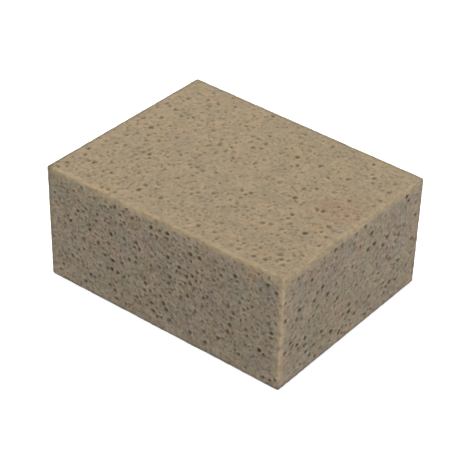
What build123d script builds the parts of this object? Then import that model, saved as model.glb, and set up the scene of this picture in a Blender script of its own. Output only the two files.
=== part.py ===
from build123d import *

import os

# A grout sponge: one block of open-cell foam for washing grout haze off fresh tile work.
# It is sliced from a larger bun of foam, so it has six flat faces and soft, slightly rounded edges.
# Frame: +X along the length, +Y along the width, +Z up through the thickness.
# The origin is the centre of the working face that the block rests on.

# Driving dimensions, in millimetres
block_length = 140.0  # X, along the long edge
block_width = 110.0  # Y, along the short edge, a hand's span
block_thickness = 62.0  # Z, from the working face to the face under the palm
edge_radius = 1.8  # how far the cut edges of the soft foam round over


def sponge_block():
    """The whole block: a slab of foam with every edge rounded over."""
    with BuildPart() as block:
        with BuildSketch(Plane.XY):
            Rectangle(block_length, block_width)
        extrude(amount=block_thickness)
        fillet(block.edges(), radius=edge_radius)
    block.part.label = "sponge_block"
    return block


os.makedirs("parts", exist_ok=True)
block = sponge_block()
export_step(block.part, "parts/sponge_block.step")
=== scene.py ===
import math
import time

import bpy
from mathutils import Matrix, Vector


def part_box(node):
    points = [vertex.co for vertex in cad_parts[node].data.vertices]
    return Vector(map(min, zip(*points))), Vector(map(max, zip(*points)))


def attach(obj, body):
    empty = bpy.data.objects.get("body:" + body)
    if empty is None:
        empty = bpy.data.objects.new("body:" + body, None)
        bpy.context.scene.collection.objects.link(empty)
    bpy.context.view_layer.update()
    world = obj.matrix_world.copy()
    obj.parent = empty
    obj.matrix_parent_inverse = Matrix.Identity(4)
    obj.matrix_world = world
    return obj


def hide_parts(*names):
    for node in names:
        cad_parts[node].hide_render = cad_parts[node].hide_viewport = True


# A grout sponge: one block of open-cell foam with cut faces, standing on a pale floor.
# Geometry Nodes carve the pores out of the block, and one shader colours the foam.

startTime = time.time()
millimetre = 0.001


def report(stage):
    print(f"{time.time() - startTime:6.1f} s  {stage}")


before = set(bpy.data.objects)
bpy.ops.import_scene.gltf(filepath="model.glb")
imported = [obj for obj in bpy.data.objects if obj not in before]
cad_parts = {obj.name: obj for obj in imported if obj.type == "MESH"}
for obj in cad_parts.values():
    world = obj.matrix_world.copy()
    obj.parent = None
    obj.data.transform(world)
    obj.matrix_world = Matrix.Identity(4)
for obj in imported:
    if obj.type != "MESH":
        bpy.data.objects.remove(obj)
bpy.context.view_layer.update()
report("frame loaded")


class Wire:  # a node socket, so that maths on it reads as an expression
    def __init__(self, tree, socket=None):
        self.tree = tree
        self.socket = socket

    def node(self, kind, settings=None, inputs=None, output=0):
        made = self.tree.nodes.new(kind)
        for name, value in (settings or {}).items():
            setattr(made, name, value)
        for key, value in (inputs or {}).items():
            if isinstance(value, Wire):
                self.tree.links.new(value.socket, made.inputs[key])
            else:
                made.inputs[key].default_value = value
        return Wire(self.tree, made.outputs[output]) if made.outputs else None

    def out(self, name):  # another output of the same node
        return Wire(self.tree, self.socket.node.outputs[name])

    def maths(self, operation, *values):
        return self.node("ShaderNodeMath", {"operation": operation}, dict(enumerate(values)))

    def vector(self, operation, other=None, output="Vector", scale=None):
        sockets = {0: self, 1: other, "Scale": scale}
        return self.node("ShaderNodeVectorMath", {"operation": operation},
                         {key: value for key, value in sockets.items() if value is not None}, output)

    def combine(self, x, y, z):
        return self.node("ShaderNodeCombineXYZ", None, {0: x, 1: y, 2: z})

    def axes(self):  # the three parts of a vector
        parts = self.node("ShaderNodeSeparateXYZ", None, {0: self})
        return parts, parts.out("Y"), parts.out("Z")

    def fade(self, start, end):  # 0 at start and 1 at end, smooth between
        return self.node("ShaderNodeMapRange", {"interpolation_type": "SMOOTHSTEP"},
                         {"Value": self, "From Min": start, "From Max": end})

    def between(self, low, high):  # low where this is 0, and high where it is 1
        return low + (high - low) * self

    def decay(self, reach):  # 1 at 0, and about a third at the reach
        return self.maths("EXPONENT", self * (-1 / reach))

    def mix(self, first, second, blend="MIX"):  # two colours, with this as the share of the second
        return self.node("ShaderNodeMix", {"data_type": "RGBA", "blend_type": blend},
                         {"Factor": self, 6: first, 7: second}, 2)

    def __add__(self, other):
        return self.maths("ADD", self, other)

    def __sub__(self, other):
        return self.maths("SUBTRACT", self, other)

    def __rsub__(self, other):
        return self.maths("SUBTRACT", other, self)

    def __mul__(self, other):
        return self.maths("MULTIPLY", self, other)

    def __truediv__(self, other):
        return self.maths("DIVIDE", self, other)

    def __rtruediv__(self, other):
        return self.maths("DIVIDE", other, self)

    def __gt__(self, other):
        return self.maths("GREATER_THAN", self, other)

    __radd__ = __add__
    __rmul__ = __mul__


cameraPlan = {
    "lens": 133.67,  # mm, as is the sensor
    "sensor": 36,
    "distance": 0.8617,  # from the middle of the block's foot
    "azimuth": 37.62,  # degrees round from the front
    "elevation": 35.13,
    "roll": 1.59,
    "right": 0.00104,  # how far the view's middle lies beside and above the middle of the foot
    "up": 0.02072,
}


def makeCamera(plan):
    azimuth, elevation, roll = (math.radians(plan[key]) for key in ("azimuth", "elevation", "roll"))
    back = Vector((math.sin(azimuth) * math.cos(elevation), -math.cos(azimuth) * math.cos(elevation),
                   math.sin(elevation)))
    right = Vector((0, 0, 1)).cross(back).normalized()
    right.rotate(Matrix.Rotation(roll, 3, back))
    up = back.cross(right)
    camera = bpy.data.objects.new("camera", bpy.data.cameras.new("camera"))
    camera.data.lens = plan["lens"]
    camera.data.sensor_width = plan["sensor"]
    camera.data.clip_start = 0.02
    place = back * plan["distance"] + right * plan["right"] + up * plan["up"]
    camera.matrix_world = Matrix.Translation(place) @ Matrix((right, up, back)).transposed().to_4x4()
    bpy.context.scene.collection.objects.link(camera)
    bpy.context.scene.camera = camera


makeCamera(cameraPlan)
report("camera")


foamLook = {
    "tan": (0.315, 0.258, 0.175, 1),
    "drab": (0.280, 0.238, 0.169, 1),
    # pale edge colour: a painted highlight along the edges, partly wear
    "highlightAndWear": (0.400, 0.328, 0.214, 1),
    # the painted shade in the pores
    "pit": (0.160, 0.113, 0.064, 1),
    # what the colour is multiplied by
    "sideShade": (0.955, 0.966, 1.044, 1),  # painted shade: the sides greyer and cooler than the top, which faces the light
    "rosy": (1.04, 0.985, 0.985, 1),  # the foam drifts between these two
    "mossy": (0.96, 1.005, 1.0, 1),
    "creamy": (1.0, 1.0, 0.96, 1),  # and between these, over a wider pattern
    "ashen": (1.0, 1.0, 1.04, 1),
    "speckle": (0.63, 0.58, 0.53, 1),  # the foam between the pores at its darkest
    "glint": (1.22, 1.22, 1.22, 1),  # and at its palest
    "foot": (1.12, 1.12, 1.12, 1),  # painted light: paler down by the floor, against the shade there
    "shadeAndGrime": (0.53, 0.61, 0.71, 1),  # along the edges away from the front corner: painted shade along the foot, grime on the rest
    "stain": (1.01, 0.915, 0.91, 1),  # one faint spot on top
    # patterns: the size in mm, and the noise at which one begins to show and shows fully
    "patches": (9.0, 0.35, 0.65),
    "tints": (10.0, 0.3, 0.7),
    "ashes": (12.5, 0.3, 0.7),
    "flecks": (2.1, 0.3, 0.7),
    "glints": (1.155, 0.48, 0.72),
    "cells": (2.4, 0.12, 0.45),  # dark spots: how far apart, and from where to where they fade
    "rise": 1.15,  # how much longer all of these are along Y, the way the foam rose in its bun
    # strengths, on the top and on the sides
    "tintShare": (0.25, 1.0),
    "ashShare": (0.35, 1.0),
    "fleckShare": (0.434, 0.644),
    "spotShare": (0.682, 1.012),
    "glintShare": (0.3, 0.95),
    "pitShare": (0.85, 0.80),
    # places, in mm unless a note says otherwise
    "topReach": (0.5, 6.0),  # how far down the sides the colour of the top fades out into the painted side shade
    "pitDepth": (0.1, 0.8),  # where the painted shade in a pore begins, and where it is full
    "pitTone": (0.15, 0.75),  # share of the dark in the palest and in the darkest pore
    "edgeReach": 3.0,  # how far in the edges are painted pale, a painted highlight that is partly wear, and how strongly
    "edgeShare": 0.72,
    "crestReach": 1.1,  # the same for the very edge, painted palest: a painted highlight
    "crestShare": 0.35,
    "edgeWander": 2.0,  # how unevenly the edges are painted pale, and the size of that pattern
    "wanderSize": 5.4,
    "sideStart": (0.1, 0.9),  # how far down the top, which gets less of the pale edges, turns into a side
    "litAndWornTo": (57.0, 61.0),  # how far down the pale edges reach
    "litAndWornFrom": (0.03, 0.15),  # share of the way from a side corner to the front one, at the top and below
    "litAndWornTurn": 6.0,  # how far down the first of those turns into the second
    "shadeAndGrimeReach": (0.6, 2.8),  # how far in the painted shade and grime begin and end to fade
    "shadeAndGrimeShare": 0.9,
    "footReach": (48.0, 61.0),
    "stainPlace": (0.056, 0.006, 0.062),  # metres, and so is how far from there the stain fades in
    "stainReach": (0.015, 0.005),
    "cellBump": 0.07,
    "roughness": (0.88, 0.98),
    "specular": 0.25,
    "glow": (1.0, 0.8, 0.6),  # light that spreads inside the foam, by colour
    "glowDepth": 4.5,
}


def foamMaterial(look):
    material = bpy.data.materials.new("open_cell_foam")
    material.use_nodes = True
    material.node_tree.nodes.clear()
    s = Wire(material.node_tree)
    place = s.node("ShaderNodeTexCoord", output="Object")
    grain = place.vector("MULTIPLY", (1.0, 1 / look["rise"], 1.0))
    pit, edge, fromTop, tone, front = (s.node("ShaderNodeAttribute", {"attribute_name": name}, output="Fac")
                                       for name in ("pit", "edge", "fromTop", "tone", "front"))

    def noise(size, detail):
        return s.node("ShaderNodeTexNoise", None,
                      {"Vector": grain, "Scale": 1 / (size * millimetre), "Detail": detail})

    def pattern(name, detail):
        size, start, end = look[name]
        return noise(size, detail).fade(start, end)

    cellSize, spotMiddle, spotRim = look["cells"]
    cells = s.node("ShaderNodeTexVoronoi", None, {"Vector": grain, "Scale": 1 / (cellSize * millimetre)})
    spots = (1 - cells.fade(spotMiddle, spotRim)) * cells.out("Color").axes()[0].between(0.3, 1.0)
    flecks = pattern("flecks", 3.0)
    wander = (noise(look["wanderSize"], 2.0) - 0.5) * look["edgeWander"]
    side = (fromTop + wander).fade(*look["topReach"])

    def share(name):  # a strength, from that on the top to that on the sides
        return side.between(*look[name])

    # the bare foam
    colour = pattern("patches", 2.0).mix(look["tan"], look["drab"])
    # painted shade on the sides, greyer and cooler than the top
    colour = side.mix(colour, look["sideShade"], "MULTIPLY")
    tint = pattern("tints", 1.5).mix(look["rosy"], look["mossy"])
    colour = share("tintShare").mix(colour, tint, "MULTIPLY")
    ash = pattern("ashes", 1.5).mix(look["creamy"], look["ashen"])
    colour = share("ashShare").mix(colour, ash, "MULTIPLY")
    colour = (share("fleckShare") * (1 - flecks)).mix(colour, look["speckle"], "MULTIPLY")
    colour = (share("spotShare") * spots).mix(colour, look["speckle"], "MULTIPLY")
    colour = (share("glintShare") * pattern("glints", 1.0)).mix(colour, look["glint"], "MULTIPLY")

    # the edges toward the front corner painted pale, a painted highlight that is partly wear, and the other
    # edges darker
    litAndWornFrom = fromTop.fade(0.0, look["litAndWornTurn"]).between(*look["litAndWornFrom"])
    litAndWornFront = front.fade(0.0, litAndWornFrom) * (1 - fromTop.fade(*look["litAndWornTo"]))
    onSide = fromTop.fade(*look["sideStart"]).between(0.3, 1.0)
    highlightAndWear = (edge + wander * 0.5).decay(look["edgeReach"]) * onSide
    crest = edge.decay(look["crestReach"])
    edgeHighlightAndWear = (look["edgeShare"] * highlightAndWear + look["crestShare"] * crest) * litAndWornFront * flecks.between(0.4, 1.4)
    colour = edgeHighlightAndWear.mix(colour, look["highlightAndWear"])
    # painted light toward the foot, paler down by the floor
    colour = fromTop.fade(*look["footReach"]).mix(colour, look["foot"], "MULTIPLY")
    stain = place.vector("DISTANCE", look["stainPlace"], "Value").fade(*look["stainReach"])
    colour = stain.mix(colour, look["stain"], "MULTIPLY")
    # darker and cooler along the edges away from the front corner: painted shade along the foot, grime on the
    # rest
    shadedAndGrubby = (1 - edge.fade(*look["shadeAndGrimeReach"])) * (1 - litAndWornFront)
    colour = (look["shadeAndGrimeShare"] * shadedAndGrubby).mix(colour, look["shadeAndGrime"], "MULTIPLY")

    # down in the pores: painted shade, darker the deeper the pore
    darkness = pit.fade(*look["pitDepth"]) * tone.between(*look["pitTone"]) * share("pitShare")
    colour = darkness.mix(colour, look["pit"])

    height = flecks * 0.8 - spots
    normal = s.node("ShaderNodeBump", None, {"Height": height, "Distance": look["cellBump"] * millimetre},
                    "Normal")
    foam = s.node("ShaderNodeBsdfPrincipled", None, {
        "Base Color": colour, "Roughness": flecks.between(*look["roughness"]), "Normal": normal,
        "Specular IOR Level": look["specular"], "Subsurface Weight": 1.0, "Subsurface Radius": look["glow"],
        "Subsurface Scale": look["glowDepth"] * millimetre})
    s.node("ShaderNodeOutputMaterial", None, {"Surface": foam})
    return material


foamShape = {  # metres, unless a note says otherwise; each is an input of the node tree
    "voxel": 0.00045,
    "margin": 0.0015,  # free room round the block while it is carved
    "sheetGap": 0.0015,  # between the parts of its UV sheet
    "edgeRadius": 0.0009,
    "poreSeed": 17,
    "poreSpacing": 0.0026,  # least distance between two big pores
    "poreSmallest": 0.0006,
    "poreLargest": 0.00127,
    "cellSeed": 27,
    "cellSpacing": 0.0015,  # the small pores between them
    "cellSmallest": 0.00035,
    "cellLargest": 0.00065,
    "crowdScale": 70.0,  # noise scales are counts in a metre
    "crowdStart": 0.30,  # noise at which the pores begin to crowd, and at which all of them are there
    "crowdEnd": 0.62,
    "sparsest": 0.25,  # share of them where they are rarest
    "shallowest": 0.46,  # how deep they are cut, in shares of their radius
    "deepest": 1.02,
    "flatFace": 1.2,  # how large they are on the two big faces, where they are cut across
    "flatDepth": 0.75,  # and how deep
    "edgeShare": 0.35,  # how large they are at the block's edges
    "edgeStart": 0.0005,  # where that begins to fade, and where they are full size
    "edgeEnd": 0.0035,
    "rise": 1.15,  # how much longer a pore is along Y
    "wobble": 0.001,  # how far its outline strays from round
    "wobbleScale": 420.0,
    "rimSoftness": 0.0003,
    "roughness": 0.00025,  # relief of the cut face between the pores
    "roughScale": 900.0,
    "waviness": 0.0004,  # and the wider waves in it
    "waveScale": 230.0,
}
cornerShifts = {  # the block is cut a little out of square: where a top corner is, and its shift in mm
    "left": ((-1, -1, 1), (-1.05, 0.35, 0.45)),
    "front": ((1, -1, 1), (0.35, 0.15, 0.60)),
    "right": ((1, 1, 1), (0.45, 0.30, -1.15)),
    "back": ((-1, 1, 1), (0.45, 0.70, 0.40)),
}


def treeInputs(tree, sizes):
    kinds = {int: "NodeSocketInt", float: "NodeSocketFloat"}
    for name, value in sizes.items():
        tree.interface.new_socket(name, in_out="INPUT", socket_type=kinds[type(value)])
    tree.interface.new_socket("half", in_out="INPUT", socket_type="NodeSocketVector")
    tree.interface.new_socket("centre", in_out="INPUT", socket_type="NodeSocketVector")
    tree.interface.new_socket("material", in_out="INPUT", socket_type="NodeSocketMaterial")
    tree.interface.new_socket("Geometry", in_out="OUTPUT", socket_type="NodeSocketGeometry")
    return Wire(tree).node("NodeGroupInput")


def stored(geometry, name, value, kind="FLOAT", domain="POINT"):
    return geometry.node("GeometryNodeStoreNamedAttribute", {"data_type": kind, "domain": domain},
                         {"Geometry": geometry, "Name": name, "Value": value})


def treeNoise(g, scale, output="Fac"):
    return g.node("ShaderNodeTexNoise", None, {"Scale": scale, "Detail": 1.0}, output)


def blockDepth(g, under, edgeRadius):  # how deep a point is under the faces of the plain rounded block
    inset = under.vector("ADD", g.combine(edgeRadius, edgeRadius, edgeRadius))
    beyond = inset.vector("MAXIMUM", (0, 0, 0)).vector("LENGTH", output="Value")
    x, y, z = inset.axes()
    within = g.maths("MINIMUM", g.maths("MAXIMUM", g.maths("MAXIMUM", x, y), z), 0.0)
    return edgeRadius - beyond - within


def edgeDistance(g, under):  # how far the second nearest face is, which is how far the nearest edge is
    x, y, z = under.axes()
    nearestFace = g.maths("MAXIMUM", g.maths("MAXIMUM", x, y), z)
    farthestFace = g.maths("MINIMUM", g.maths("MINIMUM", x, y), z)
    return nearestFace + farthestFace - x - y - z


def poreHollow(g, given, kind, cube, crowding, bent, fromEdge):  # how far from the nearest pore, and its tone
    spacing, smallest, largest, seed = (given.out(kind + end)
                                        for end in ("Spacing", "Smallest", "Largest", "Seed"))
    scattered = g.node("GeometryNodeDistributePointsOnFaces", {"distribute_method": "POISSON"}, {
        "Mesh": cube, "Distance Min": spacing, "Density Max": 1 / (spacing * spacing),
        "Density Factor": crowding, "Seed": seed})

    def chance(step):
        return g.node("FunctionNodeRandomValue", {"data_type": "FLOAT"}, {"Seed": seed + step}, 1)

    # each pore's size, and how deep it is cut
    luck = chance(1)
    facing = scattered.out("Normal").vector("ABSOLUTE").axes()[2]
    inward = fromEdge.fade(given.out("edgeStart"), given.out("edgeEnd"))
    radius = (luck * luck).between(smallest, largest) * inward.between(given.out("edgeShare"), 1.0)
    radius = radius * facing.between(1.0, given.out("flatFace"))
    cut = chance(2).between(given.out("shallowest"), given.out("deepest"))
    cut = cut * facing.between(1.0, given.out("flatDepth"))
    marked = stored(scattered, "poreRadius", radius)
    lift = scattered.out("Normal").vector("SCALE", scale=radius * (1 - cut))
    marked = g.node("GeometryNodeSetPosition", None, {"Geometry": marked, "Offset": lift})

    # the distance from the nearest one, which is longer along Y
    nearest = g.node("GeometryNodeSampleNearest", {"domain": "POINT"},
                     {"Geometry": marked, "Sample Position": bent})

    def ofNearest(value, kind="FLOAT"):
        return g.node("GeometryNodeSampleIndex", {"data_type": kind},
                      {"Geometry": marked, "Value": value, "Index": nearest})

    slim = g.combine(1.0, 1 / given.out("rise"), 1.0)
    away = bent.vector("SUBTRACT", ofNearest(g.node("GeometryNodeInputPosition"), "FLOAT_VECTOR"))
    away = away.vector("MULTIPLY", slim).vector("LENGTH", output="Value")
    itsRadius = g.node("GeometryNodeInputNamedAttribute", {"data_type": "FLOAT"}, {"Name": "poreRadius"})
    return away - ofNearest(itsRadius), ofNearest(chance(3))


def sheetPlace(g, fromCentre, half, gap):  # flat UVs, with a rectangle of the sheet for each of the six faces
    middle = g.node("GeometryNodeFieldOnDomain", {"domain": "FACE", "data_type": "FLOAT_VECTOR"},
                    {0: fromCentre})
    nearX, nearY, nearZ = middle.vector("ABSOLUTE").vector("SUBTRACT", half).axes()
    farX, farY, farZ = (part > 0.0 for part in middle.axes())
    onX = (nearX > nearY) * (nearX > nearZ)
    onY = (1 - onX) * (nearY > nearZ)
    onZ = 1 - onX - onY
    length, width, thickness = half.vector("SCALE", scale=2.0).axes()
    x, y, z = fromCentre.vector("ADD", half).axes()
    second = length + 2 * gap  # where the second column and the second row begin
    u = onZ * (x + gap) + onY * (z + second + farY * (thickness + gap)) + onX * (y + second)
    v = onZ * (y + gap + farZ * (width + gap)) + onY * (x + gap)
    v = v + onX * (z + second + farX * (thickness + gap))
    sheet = length + 2 * thickness + 4 * gap
    return g.combine(u / sheet, v / sheet, 0.0)


def outOfSquare(g, foam, fromCentre, half, shifts):
    for corner, shift in shifts.values():
        towards = fromCentre.vector("DIVIDE", half).vector("MULTIPLY", tuple(0.5 * way for way in corner))
        a, b, c = towards.vector("ADD", (0.5, 0.5, 0.5)).axes()
        offset = g.combine(*(mm * millimetre for mm in shift)).vector("SCALE", scale=a * b * c)
        foam = g.node("GeometryNodeSetPosition", None, {"Geometry": foam, "Offset": offset})
    return foam


def foamTree(sizes, shifts):
    tree = bpy.data.node_groups.new("foam_pores", "GeometryNodeTree")
    g = Wire(tree)
    given = treeInputs(tree, sizes)
    half, centre, margin = (given.out(name) for name in ("half", "centre", "margin"))
    position = g.node("GeometryNodeInputPosition")
    fromCentre = position.vector("SUBTRACT", centre)
    under = fromCentre.vector("ABSOLUTE").vector("SUBTRACT", half)
    depth = blockDepth(g, under, given.out("edgeRadius"))
    fromEdge = edgeDistance(g, under)

    # pores scattered over the block's faces, and the bent places at which they are looked up
    cube = g.node("GeometryNodeMeshCube", None, {"Size": half.vector("SCALE", scale=2.0)})
    cube = g.node("GeometryNodeTransform", None, {"Geometry": cube, "Translation": centre})
    crowding = treeNoise(g, given.out("crowdScale")).fade(given.out("crowdStart"), given.out("crowdEnd"))
    crowding = crowding.between(given.out("sparsest"), 1.0)
    strays = treeNoise(g, given.out("wobbleScale"), "Color").vector("SUBTRACT", (0.5, 0.5, 0.5))
    bent = position.vector("ADD", strays.vector("SCALE", scale=given.out("wobble")))
    pore, poreTone = poreHollow(g, given, "pore", cube, crowding, bent, fromEdge)
    cell, cellTone = poreHollow(g, given, "cell", cube, crowding, bent, fromEdge)

    # how deep a point is in the foam, once the cut's relief and the pores are taken out
    relief = (treeNoise(g, given.out("roughScale")) - 0.5) * given.out("roughness")
    waves = (treeNoise(g, given.out("waveScale")) - 0.5) * given.out("waviness")
    solid = depth - relief - waves
    for hollow in (pore, cell):
        solid = g.maths("SMOOTH_MIN", solid, hollow, given.out("rimSoftness"))

    # the foam that is left, as a mesh
    room = half.vector("ADD", g.combine(margin, margin, margin))
    counts = room.vector("SCALE", scale=2 / given.out("voxel")).axes()
    volume = g.node("GeometryNodeVolumeCube", None, {
        "Density": solid, "Background": -0.01, "Min": centre.vector("SUBTRACT", room),
        "Max": centre.vector("ADD", room), "Resolution X": counts[0], "Resolution Y": counts[1],
        "Resolution Z": counts[2]})
    foam = g.node("GeometryNodeVolumeToMesh", None, {"Volume": volume, "Threshold": 0.0})

    # what the shader reads: three distances in mm, a tone for each pore, and 1 at the front corner
    x, y, z = fromCentre.vector("DIVIDE", half).axes()
    readings = {
        "pit": depth / millimetre,
        "edge": fromEdge / millimetre,
        "fromTop": (half.axes()[2] - fromCentre.axes()[2]) / millimetre,
        "tone": (pore > cell).between(poreTone, cellTone),
        "front": (x - y) * 0.5,
    }
    for name, value in readings.items():
        foam = stored(foam, name, value)
    foam = stored(foam, "OFBake", sheetPlace(g, fromCentre, half, given.out("sheetGap")), "FLOAT2", "CORNER")

    foam = outOfSquare(g, foam, fromCentre, half, shifts)
    foam = g.node("GeometryNodeSetShadeSmooth", None, {"Geometry": foam, "Shade Smooth": True})
    foam = g.node("GeometryNodeRealizeInstances", None, {"Geometry": foam})
    foam = g.node("GeometryNodeSetMaterial", None, {"Geometry": foam, "Material": given.out("material")})
    g.node("NodeGroupOutput", None, {0: foam})
    return tree


def makeFoamBlock(sizes, shifts, material):
    low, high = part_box("sponge_block")
    half, centre = tuple((high - low) / 2), tuple((high + low) / 2)
    values = {**sizes, "half": half, "centre": centre, "material": material}
    block = bpy.data.objects.new("foam_block", bpy.data.meshes.new("foam_block_start"))
    bpy.context.scene.collection.objects.link(block)
    carve = block.modifiers.new("carve", "NODES")
    carve.node_group = foamTree(sizes, shifts)
    for socket in carve.node_group.interface.items_tree:
        if socket.in_out == "INPUT":
            carve[socket.identifier] = values[socket.name]
    carved = block.evaluated_get(bpy.context.evaluated_depsgraph_get())
    mesh = bpy.data.meshes.new_from_object(carved)
    mesh.name = "foam_block"
    block.modifiers.remove(carve)
    block.data = mesh
    print(f"foam_block has {len(mesh.vertices)} points and {len(mesh.polygons)} faces")
    return block


foam = makeFoamBlock(foamShape, cornerShifts, foamMaterial(foamLook))
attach(foam, "root")
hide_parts("sponge_block")
report("foam block")


studio = {
    "floorSize": 6.0,
    "floorColour": (0.65, 0.65, 0.65, 1),
    "floorGlow": (0.94, 0.97, 1.0, 1),  # a white table lit from below, which keeps the shadow faint
    "floorGlowStrength": 0.85,
    "sky": (0.90, 0.95, 1.0, 1),
    "skyStrength": 0.10,
}
softLights = {  # places and sizes in metres, power in watts
    "overhead_light": {"place": (-0.35, 0.25, 1.6), "size": 1.6, "power": 37.7, "colour": (1.0, 0.95, 0.88)},
    "right_light": {"place": (1.1, 0.6, 0.55), "size": 1.0, "power": 2.12, "colour": (1.0, 0.96, 0.94)},
}


def makeFloor(plan):
    mesh = bpy.data.meshes.new("floor")
    reach = plan["floorSize"] / 2
    corners = [(-reach, -reach, 0), (reach, -reach, 0), (reach, reach, 0), (-reach, reach, 0)]
    mesh.from_pydata(corners, [], [(0, 1, 2, 3)])
    floor = bpy.data.objects.new("floor", mesh)
    bpy.context.scene.collection.objects.link(floor)
    material = bpy.data.materials.new("pale_floor")
    material.use_nodes = True
    material.node_tree.nodes.clear()
    s = Wire(material.node_tree)
    paper = s.node("ShaderNodeBsdfPrincipled", None, {
        "Base Color": plan["floorColour"], "Roughness": 0.95, "Specular IOR Level": 0.0,
        "Emission Color": plan["floorGlow"], "Emission Strength": plan["floorGlowStrength"]})
    s.node("ShaderNodeOutputMaterial", None, {"Surface": paper})
    mesh.materials.append(material)


def makeSky(plan):
    world = bpy.data.worlds.new("studio")
    world.use_nodes = True
    background = world.node_tree.nodes["Background"]
    background.inputs["Color"].default_value = plan["sky"]
    background.inputs["Strength"].default_value = plan["skyStrength"]
    bpy.context.scene.world = world


def makeLight(name, place, size, power, colour):
    light = bpy.data.objects.new(name, bpy.data.lights.new(name, "AREA"))
    light.data.shape = "DISK"
    light.data.size = size
    light.data.energy = power
    light.data.color = colour
    light.location = place
    light.rotation_euler = (-Vector(place)).to_track_quat("-Z", "Y").to_euler()
    bpy.context.scene.collection.objects.link(light)


makeFloor(studio)
makeSky(studio)
for name, plan in softLights.items():
    makeLight(name, **plan)
bpy.context.scene.view_settings.view_transform = "Standard"
report("floor and light")
